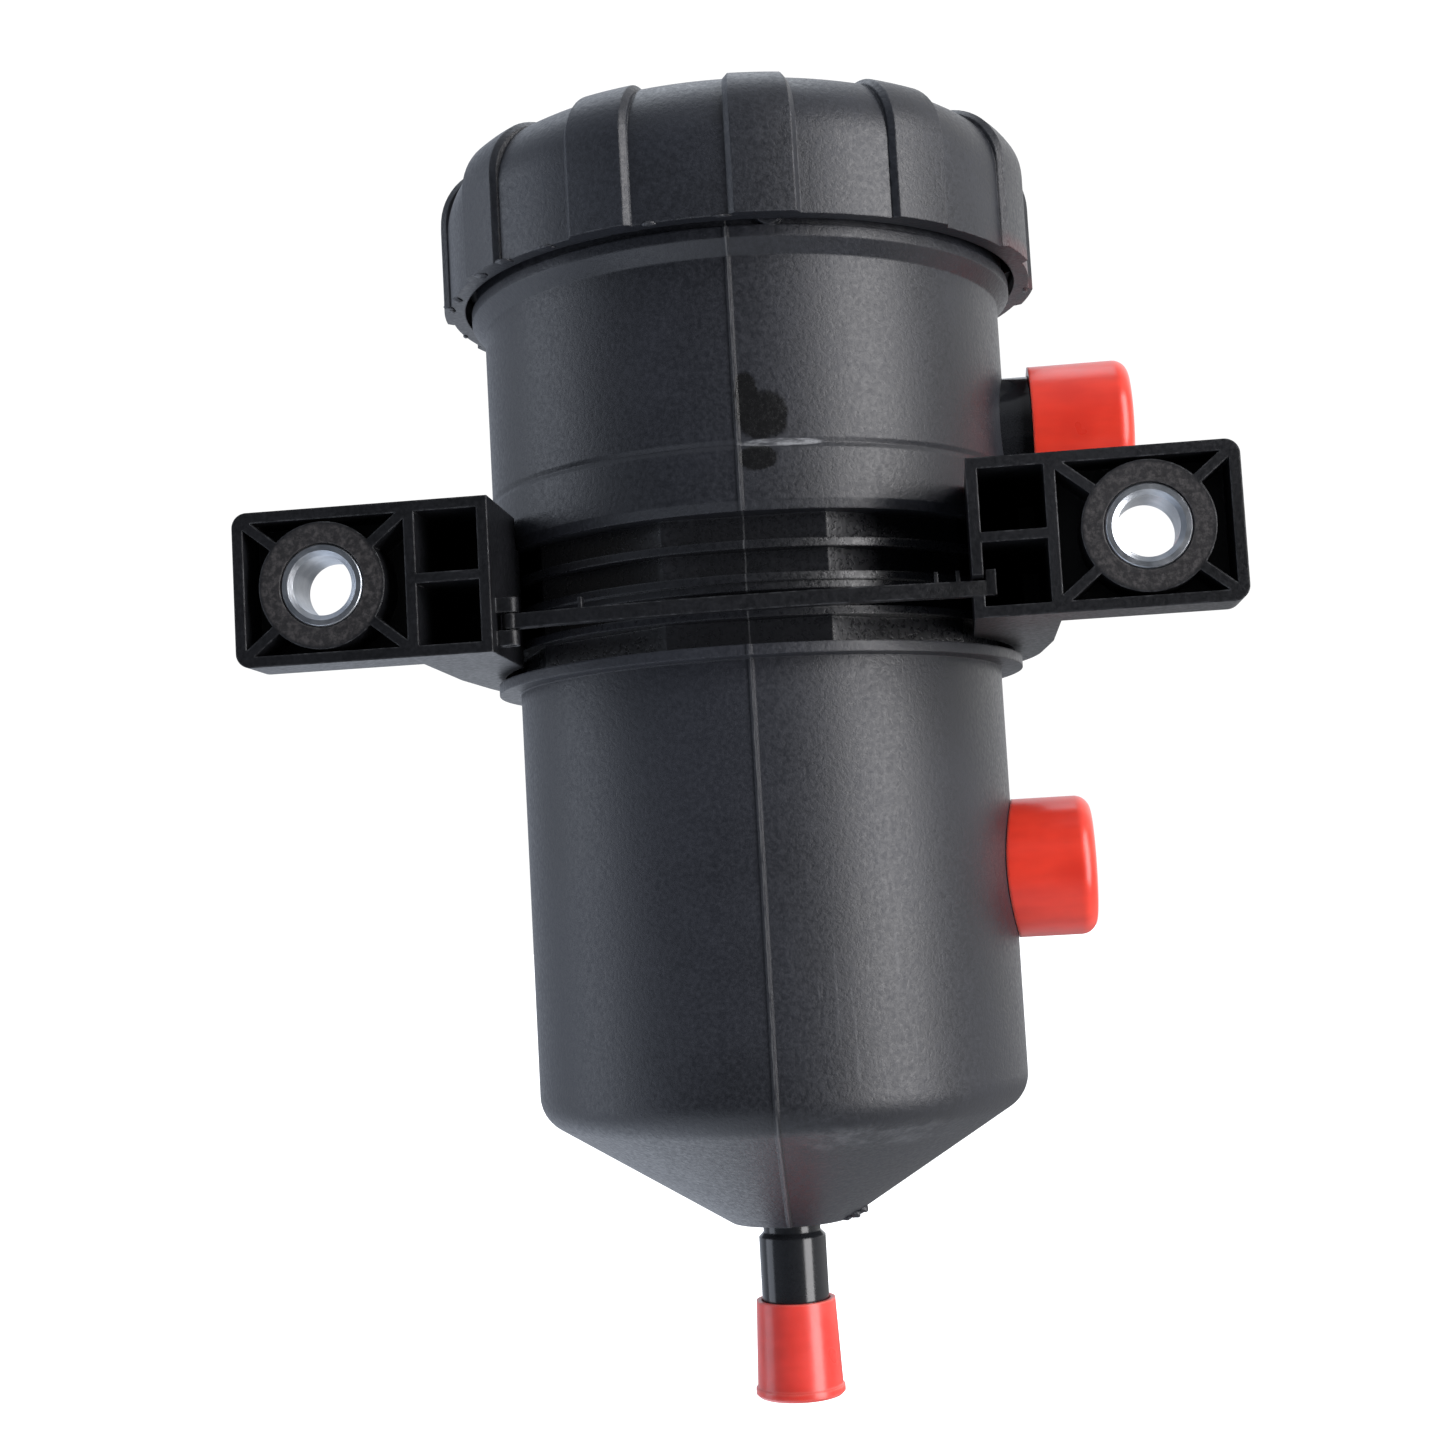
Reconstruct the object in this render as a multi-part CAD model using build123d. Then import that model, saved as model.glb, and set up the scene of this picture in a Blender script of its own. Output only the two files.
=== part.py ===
from build123d import *
import math
import os

os.makedirs("parts", exist_ok=True)

# Oil-mist separator canister held in a clamp bracket.  Millimetres, +Z up.
# The origin is midway between the two mounting holes, on the mounting plane (y = 0).
# The mounting side faces -Y, and the hose stubs point to +X.
# Radii step out from the lower body, and heights step up and down from the bracket.

# ---------------------------------------------------------------- bracket
EAR_HALF_H = 15.6
EAR_DEPTH = 12.5
EAR_WALL = 2.2
EAR_CORNER = 3.0
EAR_L = 35.0              # tray of one ear, along X
HOLE_INSET = 18.0         # mounting hole, in from the ear's outer end
WEB_W = 17.0              # web with the two deep cells, along X
WEB_PROUD = 1.5           # web past the side of the clamp
WEB_SHORT = 15.0          # web's outer face stops this far in front of the canister axis
CLAMP_WALL = 4.5
CLAMP_GAP = 0.7           # clamp to the widest canister ring or body inside it
BOSS_R = 12.8
RIB_T = 2.0
SEAT_RIB_GAP = 0.4        # seat rib to the ring below it, to the body above it and to the flats
BUSH_R = 8.5
BUSH_BORE_R = 6.0
BUSH_FIT = 0.02
BUSH_MOUTH = 0.5
BUSH_MOUTH_W = 1.0

# ---------------------------------------------------------------- retaining strap
STRAP_DROP = 9.2          # middle of the strap below the mounting holes
STRAP_H = 3.0
STRAP_FRONT_Y = 0.5
STRAP_T = 2.3
STRAP_BOW = 4.0           # ends of the strap behind its middle
STRAP_GAP = 0.45
STRAP_ROOM = 2.7          # strap to the canister's rings behind it
HOOK_L = 2.0
HOOK_UP = 2.1             # hook and teeth above the strap's upper edge
TOOTH_W = 0.8
TEETH_IN = (2.7, 6.9, 76.8)   # teeth, in from the right ear's inner wall
HINGE_R = 1.7
HINGE_PIN_R = 0.9
HINGE_PIN_L = 2.5
HINGE_PIN_GAP = 0.25
HINGE_GAP = 0.3           # strap's eye to the lugs above and below it
HINGE_OFF = 0.9           # strap's eye to the ear's inner wall
HINGE_LUG_T = 3.0

# ---------------------------------------------------------------- canister
WALL = 2.8
LOWER_R = 53.0
LOWER_L = 93.9            # lower body, from the clamp seat to the cone
CONE_CORNER_FILLET = 8.0
CONE_H = 25.0
CONE_END_R = 13.0
FLANGE_STEP = 4.7         # support flange past the lower body
FLANGE_T = 2.2
FLANGE_GAP = 1.5          # clamp to the support flange
SEAT_SIDES = 10
CLAMP_OVER = 6.2          # clamp up over the upper body
SEAT_STEP = 2.0           # flats of the ten-sided seat, in from the lower body
SEAT_TURN = 3.0           # azimuth of the flat that faces the mounting side
RING_STEP = 2.5           # thin rings past the lower body
RING_T = 1.7
RING_UPS = (5.5, 12.5, 19.2)
RING_LIP = 0.5            # lip under the middle ring, in from its face
RING_LIP_H = 1.6
UPPER_STEP = 4.3          # upper body past the lower body
UPPER_L = 51.1
UPPER_BEVEL_W = 0.7
UPPER_BEVEL_H = 2.0
CREASE_UP = 13.2
CREASE_DEPTH = 0.4
COLLAR_STEP = 2.7
COLLAR_H = 5.3
COLLAR_CONE_H = 3.0
TAB_R = 3.0
TAB_PROUD = 1.7           # round pip past the neck
TAB_UP = 2.9              # its middle above the collar
TAB_TURN = 11.3
SEAM_W = 0.9
SEAM_PROUD = 0.35

# ---------------------------------------------------------------- neck and screw cap
NECK_STEP = 1.5           # neck past the upper body
NECK_H = 20.2
THREAD_LEAD = 6.0
THREAD_DEPTH = 2.0
THREAD_BASE_W = 3.0
THREAD_CREST_W = 1.2
THREAD_TURNS = 1.5
THREAD_GAP = 0.6          # crest of a thread to the wall that it faces
THREAD_UP = 3.5           # neck thread's start above the cap's lower edge
CAP_LIFT_OFF = 0.7        # cap's lower edge above the collar
CAP_H = 32.5
CAP_WALL = 3.2
CAP_ROUND = 16.0
CAP_TOP_T = 3.5
LUG_STEP = 1.4
LUG_ROUND = 14.0
LUG_COUNT = 12
LUG_WIDTH = 12.5          # degrees
LUG_BEVEL = 1.1
LUG_TURN = 10.2           # azimuth of the first lug, from the mounting side towards +X
PLUG_REACH = 8.0          # plug below the top of the neck
PLUG_WALL = 4.7
PLUG_GAP = 0.3
O_RING_D = 2.4
O_RING_DOWN = 4.0         # O-ring below the top of the neck
SEAL_GAP = 0.3            # an O-ring stands this far off the faces that would squeeze it

# ---------------------------------------------------------------- relief valve in the cap
WELL_R = 21.8
WELL_WALL = 2.2
WELL_DEPTH = 20.5
SEAT_HOLE_R = 11.0
SEAT_LIP_W = 1.6
SEAT_LIP_H = 0.8
VALVE_GAP = 0.05          # the seal stands this far off its seat
VALVE_SEAL_R = 15.0
VALVE_SEAL_T = 1.4
VALVE_PLATE_R = 16.5
VALVE_PLATE_T = 2.0
VALVE_STEM_R = 3.0
VALVE_STEM_H = 5.0
COVER_T = 3.0
COVER_GAP = 0.15
COVER_SLOTS = 8
COVER_SLOT_W = 3.0
COVER_RIM = 3.0
COVER_GUIDE_H = 2.0
LEDGE_W = 1.6
LEDGE_T = 1.6
SPRING_R = 8.0
SPRING_WIRE_R = 0.7
SPRING_TURNS = 4
SPRING_GAP = 0.1

# ---------------------------------------------------------------- filter element
LEDGE_UP = 2.6            # ledge that carries the element, above the seat
ELEMENT_CLEAR = 23.0      # element above the cone's upper edge
THROAT_GAP = 2.2          # end cap to the throat that it passes
CORE_R = 22.0
CORE_WALL = 1.8
CORE_SLOT_W = 4.0
CORE_SLOT_H = 12.0
CORE_SLOT_ROWS = 5
CORE_SLOT_COLUMNS = 12
END_CAP_T = 3.0
END_CAP_RIM_T = 1.8
END_CAP_RIM_H = 6.0
ELEMENT_GAP = 0.2         # slip between the media and what surrounds it
ELEMENT_SEAL_T = 2.0
ELEMENT_SEAL_W = 4.5
POST_COUNT = 4
POST_T = 3.0
POST_W = 8.0              # degrees
POST_INSET = 1.0
POST_GAP = 0.5

# ---------------------------------------------------------------- hose stubs and drain
STUB_R = 12.5
STUB_WALL = 2.0
STUB_BEVEL = 0.5
STUB_INSIDE = 5.0         # stub inside the canister's wall
STUB_FIT = 0.03           # radial fit of a stub in its hole
PORT_ABOVE_EAR = 2.3      # upper port's cap above the ears
UPPER_STUB_L = 24.9       # stub outside the body
LOWER_PORT_UP = 48.0      # lower port above the cone's upper edge
LOWER_STUB_L = 14.7
DRAIN_R = 7.25
DRAIN_BORE_R = 5.0
DRAIN_L = 35.0
DRAIN_TIP = 1.5
DRAIN_NECK_STEP = 1.05
DRAIN_NECK_L = 2.5
DRAIN_FLANGE_STEP = 2.25
DRAIN_FLANGE_T = 2.0

# ---------------------------------------------------------------- transport caps
PORT_CAP_WALL = 1.7
PORT_CAP_GAP = 0.3
PORT_CAP_END_T = 2.0
PORT_CAP_ROUND = 3.5
UPPER_NECK_SHOWS = 5.5    # bare stub between the body and its cap
LOWER_NECK_SHOWS = 0.3
DRAIN_CAP_REACH = 18.0    # cap up over the nipple
DRAIN_CAP_RIM_T = 1.0
DRAIN_CAP_FLARE = 0.7
DRAIN_CAP_BEAD = 0.4
DRAIN_CAP_BEAD_H = 2.2
DRAIN_CAP_BEVEL = 0.6
DRAIN_CAP_END_T = 2.0

# ---------------------------------------------------------------- worked-out radii
UPPER_R = LOWER_R + UPPER_STEP
SEAT_FLAT_R = LOWER_R - SEAT_STEP
RING_R = LOWER_R + RING_STEP
FLANGE_R = LOWER_R + FLANGE_STEP
COLLAR_R = UPPER_R + COLLAR_STEP
NECK_R = UPPER_R + NECK_STEP
CAP_BORE = NECK_R + THREAD_DEPTH + THREAD_GAP
CAP_R = CAP_BORE + CAP_WALL
LUG_R = CAP_R + LUG_STEP
LOWER_BORE = LOWER_R - WALL
THROAT_R = SEAT_FLAT_R - WALL
UPPER_BORE = UPPER_R - WALL
RING_BORE = RING_R + CLAMP_GAP
BODY_BORE = UPPER_R + CLAMP_GAP
CLAMP_R = BODY_BORE + CLAMP_WALL
PLUG_R = UPPER_BORE - PLUG_GAP
O_RING_R = UPPER_BORE - SEAL_GAP - O_RING_D / 2
O_RING_GROOVE = O_RING_D / 2 + SEAL_GAP
END_CAP_R = THROAT_R - THROAT_GAP
MEDIA_R = END_CAP_R - END_CAP_RIM_T - ELEMENT_GAP
MEDIA_BORE = CORE_R + ELEMENT_GAP
PORT_CAP_BORE = STUB_R + PORT_CAP_GAP
PORT_CAP_R = PORT_CAP_BORE + PORT_CAP_WALL

# ---------------------------------------------------------------- worked-out places in the bracket
AXIS_Y = STRAP_FRONT_Y + STRAP_T + STRAP_ROOM + RING_R
DIVIDER_X = CLAMP_R + WEB_PROUD
EAR_IN_X = DIVIDER_X - WEB_W
EAR_OUT_X = DIVIDER_X + EAR_L
HOLE_X = EAR_OUT_X - HOLE_INSET
STRAP_Z = -STRAP_DROP
STRAP_MIDDLE_Y = STRAP_FRONT_Y + STRAP_T / 2
HOOK_X = EAR_IN_X + EAR_WALL + STRAP_GAP
HINGE_X = HINGE_OFF + HINGE_R - EAR_IN_X
HINGE_Y = STRAP_MIDDLE_Y + STRAP_BOW

# ---------------------------------------------------------------- worked-out heights
SEAT_LOW_Z = -EAR_HALF_H - FLANGE_GAP
SEAT_HIGH_Z = EAR_HALF_H - CLAMP_OVER
FLANGE_LOW_Z = SEAT_LOW_Z - FLANGE_T
CONE_CORNER_Z = SEAT_LOW_Z - LOWER_L
CONE_END_Z = CONE_CORNER_Z - CONE_H
CREASE_Z = SEAT_HIGH_Z + CREASE_UP
FLARE_Z = SEAT_HIGH_Z + UPPER_L
COLLAR_Z = FLARE_Z + COLLAR_H
NECK_TOP_Z = COLLAR_Z + NECK_H
CAP_LOW_Z = COLLAR_Z + CAP_LIFT_OFF
CAP_TOP_Z = CAP_LOW_Z + CAP_H
CAP_CEILING_Z = CAP_TOP_Z - CAP_TOP_T
NECK_THREAD_Z = CAP_LOW_Z + THREAD_UP
PLUG_LOW_Z = NECK_TOP_Z - PLUG_REACH
O_RING_Z = NECK_TOP_Z - O_RING_DOWN
WELL_LOW_Z = CAP_TOP_Z - WELL_DEPTH
WELL_FLOOR_Z = WELL_LOW_Z + WELL_WALL
VALVE_SEAL_Z = WELL_FLOOR_Z + SEAT_LIP_H + VALVE_GAP
VALVE_PLATE_Z = VALVE_SEAL_Z + VALVE_SEAL_T
VALVE_TOP_Z = VALVE_PLATE_Z + VALVE_PLATE_T
COVER_Z = CAP_TOP_Z - COVER_T
LEDGE_Z = SEAT_HIGH_Z + LEDGE_UP
FLANGE_Z = LEDGE_Z + ELEMENT_SEAL_T
ELEMENT_LOW_Z = CONE_CORNER_Z + ELEMENT_CLEAR
MEDIA_LOW_Z = ELEMENT_LOW_Z + END_CAP_T
UPPER_PORT_Z = EAR_HALF_H + PORT_ABOVE_EAR + PORT_CAP_R
LOWER_PORT_Z = CONE_CORNER_Z + LOWER_PORT_UP
DRAIN_END_Z = CONE_END_Z - DRAIN_L


def turned(points):
    """A solid of revolution about Z from (radius, height) points."""
    return revolve(Plane.XZ * make_face(Polyline(*points, close=True)), Axis.Z)


def disc(radius, low, high):
    """A cylinder about Z between two heights."""
    return Pos(0, 0, low) * Cylinder(radius, high - low, align=(Align.CENTER, Align.CENTER, Align.MIN))


def ring(outer, inner, low, high):
    return disc(outer, low, high) - disc(inner, low, high)


def block(low, high):
    """A box between two corners."""
    size = [high[i] - low[i] for i in range(3)]
    return Pos(*low) * Box(*size, align=(Align.MIN, Align.MIN, Align.MIN))


def bar(radius, start, end, height):
    """A cylinder along X at the given height, between two distances from the Z axis."""
    rod = Cylinder(radius, end - start, align=(Align.CENTER, Align.CENTER, Align.MIN))
    return Pos(start, 0, height) * Rot(0, 90, 0) * rod


def wedge(reach, middle, width, low, high):
    """A sector about Z; azimuth is counted from -Y towards +X, in degrees."""
    corners = [(0, 0)]
    for share in (-0.5, 0.0, 0.5):
        angle = math.radians(middle + share * width - 90)
        corners.append((reach * math.cos(angle), reach * math.sin(angle)))
    return Pos(0, 0, low) * extrude(make_face(Polyline(*corners, close=True)), high - low)


def seat_outline(flat_radius):
    """Ten-sided face with one flat turned to the mounting side."""
    half_angle = 180 / SEAT_SIDES
    corner_radius = flat_radius / math.cos(math.radians(half_angle))
    return Rot(0, 0, SEAT_TURN) * RegularPolygon(corner_radius, SEAT_SIDES, rotation=half_angle - 90)


def rounded_cylinder(radius, low, high, rounding):
    shape = disc(radius, low, high)
    return fillet(shape.edges().group_by(Axis.Z)[-1], rounding)


def thread(radius, low, outward):
    """A helical ridge whose root is sunk a little into the wall that carries it."""
    sink = 0.4
    reach = THREAD_DEPTH if outward else -THREAD_DEPTH
    root = -sink if outward else sink
    path = Helix(THREAD_LEAD, THREAD_LEAD * THREAD_TURNS, radius)
    section = Polyline(
        (root, -THREAD_BASE_W / 2), (reach, -THREAD_CREST_W / 2),
        (reach, THREAD_CREST_W / 2), (root, THREAD_BASE_W / 2), close=True)
    start = Plane(origin=(radius, 0, 0), x_dir=(1, 0, 0), z_dir=(0, -1, 0))
    return Pos(0, 0, low) * sweep(start * make_face(section), path=path, is_frenet=True)


def save(name, shape):
    shape.label = name
    export_step(shape, f"parts/{name}.step")


def save_on_axis(name, shape):
    save(name, Pos(0, AXIS_Y, 0) * shape)


# ---------------------------------------------------------------- canister
def lower_body(proud=0.0):
    """Outside of the lower body, its cone and the support flange; proud makes it larger."""
    body = turned([
        (0, CONE_END_Z - proud), (CONE_END_R + proud, CONE_END_Z - proud), (LOWER_R + proud, CONE_CORNER_Z),
        (LOWER_R + proud, FLANGE_LOW_Z), (FLANGE_R + proud, FLANGE_LOW_Z), (FLANGE_R + proud, SEAT_LOW_Z),
        (0, SEAT_LOW_Z),
    ])
    circles = body.edges().filter_by(GeomType.CIRCLE)
    corner = circles.filter_by_position(Axis.Z, CONE_CORNER_Z - 0.1, CONE_CORNER_Z + 0.1)
    return fillet(corner, CONE_CORNER_FILLET)


def upper_body(proud=0.0):
    """Outside of the upper body with its crease and collar, and of the neck."""
    dent = CREASE_DEPTH - proud
    return turned([
        (0, SEAT_HIGH_Z), (UPPER_R - UPPER_BEVEL_W + proud, SEAT_HIGH_Z),
        (UPPER_R + proud, SEAT_HIGH_Z + UPPER_BEVEL_H), (UPPER_R + proud, CREASE_Z - 1),
        (UPPER_R - dent, CREASE_Z), (UPPER_R + proud, CREASE_Z + 1), (UPPER_R + proud, FLARE_Z),
        (COLLAR_R + proud, FLARE_Z + COLLAR_CONE_H), (COLLAR_R + proud, COLLAR_Z), (NECK_R, COLLAR_Z),
        (NECK_R, NECK_TOP_Z), (0, NECK_TOP_Z),
    ])


def clamp_seat():
    """Ten-sided waist between the flange and the upper body, with its thin rings."""
    seat = Pos(0, 0, SEAT_LOW_Z) * extrude(seat_outline(SEAT_FLAT_R), SEAT_HIGH_Z - SEAT_LOW_Z)
    for up in RING_UPS:
        seat += disc(RING_R, SEAT_LOW_Z + up, SEAT_LOW_Z + up + RING_T)
    middle_z = SEAT_LOW_Z + RING_UPS[1]
    return seat + disc(RING_R - RING_LIP, middle_z - RING_LIP_H, middle_z)


def canister_inside():
    """Space inside the canister, open at the neck."""
    cone_drop = WALL * CONE_H / LOWER_R
    return turned([
        (0, CONE_END_Z + WALL), (CONE_END_R - cone_drop, CONE_END_Z + WALL),
        (LOWER_BORE, CONE_CORNER_Z + cone_drop), (LOWER_BORE, FLANGE_LOW_Z),
        (THROAT_R, SEAT_LOW_Z), (THROAT_R, LEDGE_Z), (UPPER_BORE, LEDGE_Z),
        (UPPER_BORE, NECK_TOP_Z), (0, NECK_TOP_Z),
    ])


def seam():
    """Parting line left by the two mould halves, down both sides of the canister."""
    reach = COLLAR_R + 2 * SEAM_PROUD
    low = (-SEAM_W / 2, -reach, CONE_END_Z)
    slab = Rot(0, 0, SEAT_TURN) * block(low, (SEAM_W / 2, reach, COLLAR_Z))
    return (lower_body(SEAM_PROUD) & slab) + (upper_body(SEAM_PROUD) & slab)


def housing():
    body = lower_body() + upper_body() + clamp_seat() + seam()
    pip = Rot(-90, 0, 0) * disc(TAB_R, 0, TAB_PROUD + WALL / 2)
    body += Rot(0, 0, TAB_TURN) * Pos(0, -NECK_R - TAB_PROUD, COLLAR_Z + TAB_UP) * pip
    body -= canister_inside()
    body -= disc(DRAIN_R + STUB_FIT, CONE_END_Z - 1, CONE_END_Z + 2 * WALL)
    for radius, height in ((UPPER_R, UPPER_PORT_Z), (LOWER_R, LOWER_PORT_Z)):
        body -= bar(STUB_R + STUB_FIT, radius - WALL - 2 * STUB_INSIDE, radius + 1, height)
    return body + thread(NECK_R, NECK_THREAD_Z, True)


# ---------------------------------------------------------------- hose stubs and drain
def hose_stub(body_radius, length, height):
    """Push-in hose stub with a bevelled mouth."""
    start = body_radius - WALL - STUB_INSIDE
    end = body_radius + length
    stub = bar(STUB_R, start, end, height) - bar(STUB_R - STUB_WALL, start - 1, end + 1, height)
    mouth = stub.edges().filter_by(GeomType.CIRCLE).group_by(Axis.X)[-1]
    return chamfer(mouth, STUB_BEVEL)


def drain_nipple():
    """Nipple with a flange inside the cone, a short neck and a bevelled tip."""
    inside = CONE_END_Z + WALL
    neck_r = DRAIN_R - DRAIN_NECK_STEP
    flange_r = DRAIN_R + DRAIN_FLANGE_STEP
    return turned([
        (DRAIN_BORE_R, DRAIN_END_Z), (DRAIN_R - DRAIN_TIP, DRAIN_END_Z), (DRAIN_R, DRAIN_END_Z + DRAIN_TIP),
        (DRAIN_R, CONE_END_Z - DRAIN_NECK_L - DRAIN_NECK_STEP), (neck_r, CONE_END_Z - DRAIN_NECK_L),
        (neck_r, CONE_END_Z - DRAIN_NECK_STEP), (DRAIN_R, CONE_END_Z), (DRAIN_R, inside),
        (flange_r, inside), (flange_r, inside + DRAIN_FLANGE_T), (DRAIN_BORE_R, inside + DRAIN_FLANGE_T),
    ])


# ---------------------------------------------------------------- filter element
def filter_core():
    """Slotted support tube in the middle of the element."""
    core = ring(CORE_R, CORE_R - CORE_WALL, MEDIA_LOW_Z, FLANGE_Z)
    spacing = (FLANGE_Z - MEDIA_LOW_Z) / CORE_SLOT_ROWS
    slot = Box(2 * CORE_R + 2, CORE_SLOT_W, CORE_SLOT_H)
    for row in range(CORE_SLOT_ROWS):
        middle = MEDIA_LOW_Z + (row + 0.5) * spacing
        for column in range(CORE_SLOT_COLUMNS // 2):
            core -= Pos(0, 0, middle) * Rot(0, 0, column * 360 / CORE_SLOT_COLUMNS) * slot
    return core


def filter_top_end_cap():
    """Open end cap with the flange that hangs the element, and posts up to the screw cap."""
    cap = ring(PLUG_R, CORE_R - CORE_WALL, FLANGE_Z, FLANGE_Z + END_CAP_T)
    cap += ring(END_CAP_R, END_CAP_R - END_CAP_RIM_T, FLANGE_Z - END_CAP_RIM_H, FLANGE_Z)
    outer = PLUG_R - POST_INSET
    post = ring(outer, outer - POST_T, FLANGE_Z + END_CAP_T, PLUG_LOW_Z - POST_GAP)
    for number in range(POST_COUNT):
        middle = (number + 0.5) * 360 / POST_COUNT
        cap += post & wedge(2 * outer, middle, POST_W, FLANGE_Z, PLUG_LOW_Z)
    return cap


def filter_bottom_end_cap():
    cup = disc(END_CAP_R, ELEMENT_LOW_Z, MEDIA_LOW_Z)
    return cup + ring(END_CAP_R, END_CAP_R - END_CAP_RIM_T, MEDIA_LOW_Z, MEDIA_LOW_Z + END_CAP_RIM_H)


def filter_seal_ring():
    outer = PLUG_R - PLUG_GAP
    return ring(outer, outer - ELEMENT_SEAL_W, LEDGE_Z, FLANGE_Z)


# ---------------------------------------------------------------- screw cap
def cap_plug():
    """Ring that enters the neck, with the O-ring's groove."""
    plug = ring(PLUG_R, PLUG_R - PLUG_WALL, PLUG_LOW_Z, CAP_CEILING_Z + 1)
    floor_r = O_RING_R - O_RING_GROOVE
    return plug - ring(PLUG_R + 1, floor_r, O_RING_Z - O_RING_GROOVE, O_RING_Z + O_RING_GROOVE)


def cap_lug():
    """One lug, bevelled along both sides; it runs up the skirt and over the shoulder."""
    lug = rounded_cylinder(LUG_R, CAP_LOW_Z, CAP_TOP_Z, LUG_ROUND)
    lug &= wedge(2 * LUG_R, LUG_TURN, LUG_WIDTH, CAP_LOW_Z, CAP_TOP_Z)
    upright = lug.edges().filter_by(Axis.Z).sort_by(SortBy.DISTANCE)
    outer = [edge for edge in upright if math.hypot(edge.center().X, edge.center().Y) > LUG_R - 1]
    return chamfer(outer, LUG_BEVEL)


def screw_cap():
    """Service cap: lugged skirt, plug, thread and the relief valve's well."""
    cap = rounded_cylinder(CAP_R, CAP_LOW_Z, CAP_TOP_Z, CAP_ROUND)
    lug = cap_lug()
    for number in range(LUG_COUNT):
        cap += Rot(0, 0, number * 360 / LUG_COUNT) * lug
    cap -= rounded_cylinder(CAP_BORE, CAP_LOW_Z - 1, CAP_CEILING_Z, CAP_ROUND - CAP_WALL)
    cap = cap + cap_plug() + disc(WELL_R + WELL_WALL, WELL_LOW_Z, CAP_CEILING_Z + 1)
    cap -= disc(WELL_R, WELL_FLOOR_Z, CAP_TOP_Z + 1)
    cap += ring(WELL_R + 1, WELL_R - LEDGE_W, COVER_Z - LEDGE_T, COVER_Z)
    cap += disc(SEAT_HOLE_R + SEAT_LIP_W, WELL_FLOOR_Z, WELL_FLOOR_Z + SEAT_LIP_H)
    cap -= disc(SEAT_HOLE_R, WELL_LOW_Z - 1, VALVE_SEAL_Z)
    return cap + thread(CAP_BORE, NECK_THREAD_Z + THREAD_LEAD / 2, False)


def vent_cover():
    """Disc that closes the valve's well and lets its air out through a ring of slots."""
    guide_r = SPRING_R - SPRING_WIRE_R - 2 * SPRING_GAP
    cover = disc(WELL_R - COVER_GAP, COVER_Z, CAP_TOP_Z)
    low = (SPRING_R + COVER_RIM, -COVER_SLOT_W / 2, COVER_Z - 1)
    slot = block(low, (WELL_R - COVER_RIM, COVER_SLOT_W / 2, CAP_TOP_Z + 1))
    for number in range(COVER_SLOTS):
        cover -= Rot(0, 0, number * 360 / COVER_SLOTS) * slot
    return cover + ring(guide_r, guide_r - LEDGE_T, COVER_Z - COVER_GUIDE_H, COVER_Z)


def valve_spring():
    """Coil between the valve plate and the vent cover."""
    low = VALVE_TOP_Z + SPRING_WIRE_R + SPRING_GAP
    high = COVER_Z - SPRING_WIRE_R - SPRING_GAP
    path = Helix((high - low) / SPRING_TURNS, high - low, SPRING_R)
    start = Plane(origin=path @ 0, z_dir=path % 0)
    return Pos(0, 0, low) * sweep(start * Circle(SPRING_WIRE_R), path=path, is_frenet=True)


def valve_plate():
    stem = disc(VALVE_STEM_R, VALVE_TOP_Z, VALVE_TOP_Z + VALVE_STEM_H)
    return disc(VALVE_PLATE_R, VALVE_PLATE_Z, VALVE_TOP_Z) + stem


# ---------------------------------------------------------------- transport caps
def port_cap(body_radius, shows, length, height):
    """Soft dip-moulded cap pushed over a hose stub."""
    start = body_radius + shows
    floor = body_radius + length + PORT_CAP_GAP
    cap = bar(PORT_CAP_R, start, floor + PORT_CAP_END_T, height)
    cap = fillet(cap.edges().group_by(Axis.X)[-1], PORT_CAP_ROUND)
    return cap - bar(PORT_CAP_BORE, start - 1, floor, height)


def drain_cap():
    """Soft cap on the drain nipple: open at the top, flared to a beaded closed end."""
    bore = DRAIN_R + PORT_CAP_GAP
    floor = DRAIN_END_Z - PORT_CAP_GAP
    low = floor - DRAIN_CAP_END_T
    rim_r = bore + DRAIN_CAP_RIM_T
    flare_r = rim_r + DRAIN_CAP_FLARE
    bead_r = flare_r + DRAIN_CAP_BEAD
    return turned([
        (0, low), (bead_r - DRAIN_CAP_BEVEL, low), (bead_r, low + DRAIN_CAP_BEVEL),
        (bead_r, low + DRAIN_CAP_BEAD_H - DRAIN_CAP_BEAD), (flare_r, low + DRAIN_CAP_BEAD_H),
        (rim_r, DRAIN_END_Z + DRAIN_CAP_REACH), (bore, DRAIN_END_Z + DRAIN_CAP_REACH),
        (bore, floor), (0, floor),
    ])


# ---------------------------------------------------------------- clamp bracket
def clamp_outline():
    """Plan of one web and half of the clamp, as a face; the other side mirrors it."""
    lean = math.radians(6)
    web = Polyline(
        (EAR_IN_X, 0), (DIVIDER_X, 0), (DIVIDER_X, AXIS_Y - WEB_SHORT),
        (CLAMP_R * math.cos(lean), AXIS_Y + CLAMP_R * math.sin(lean)), (EAR_IN_X, AXIS_Y), close=True)
    half = Pos(CLAMP_R / 2, AXIS_Y + CLAMP_R / 2 - WEB_SHORT) * Rectangle(CLAMP_R, CLAMP_R + 2 * WEB_SHORT)
    return make_face(web) + (Pos(0, AXIS_Y) * Circle(CLAMP_R) & half)


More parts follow.
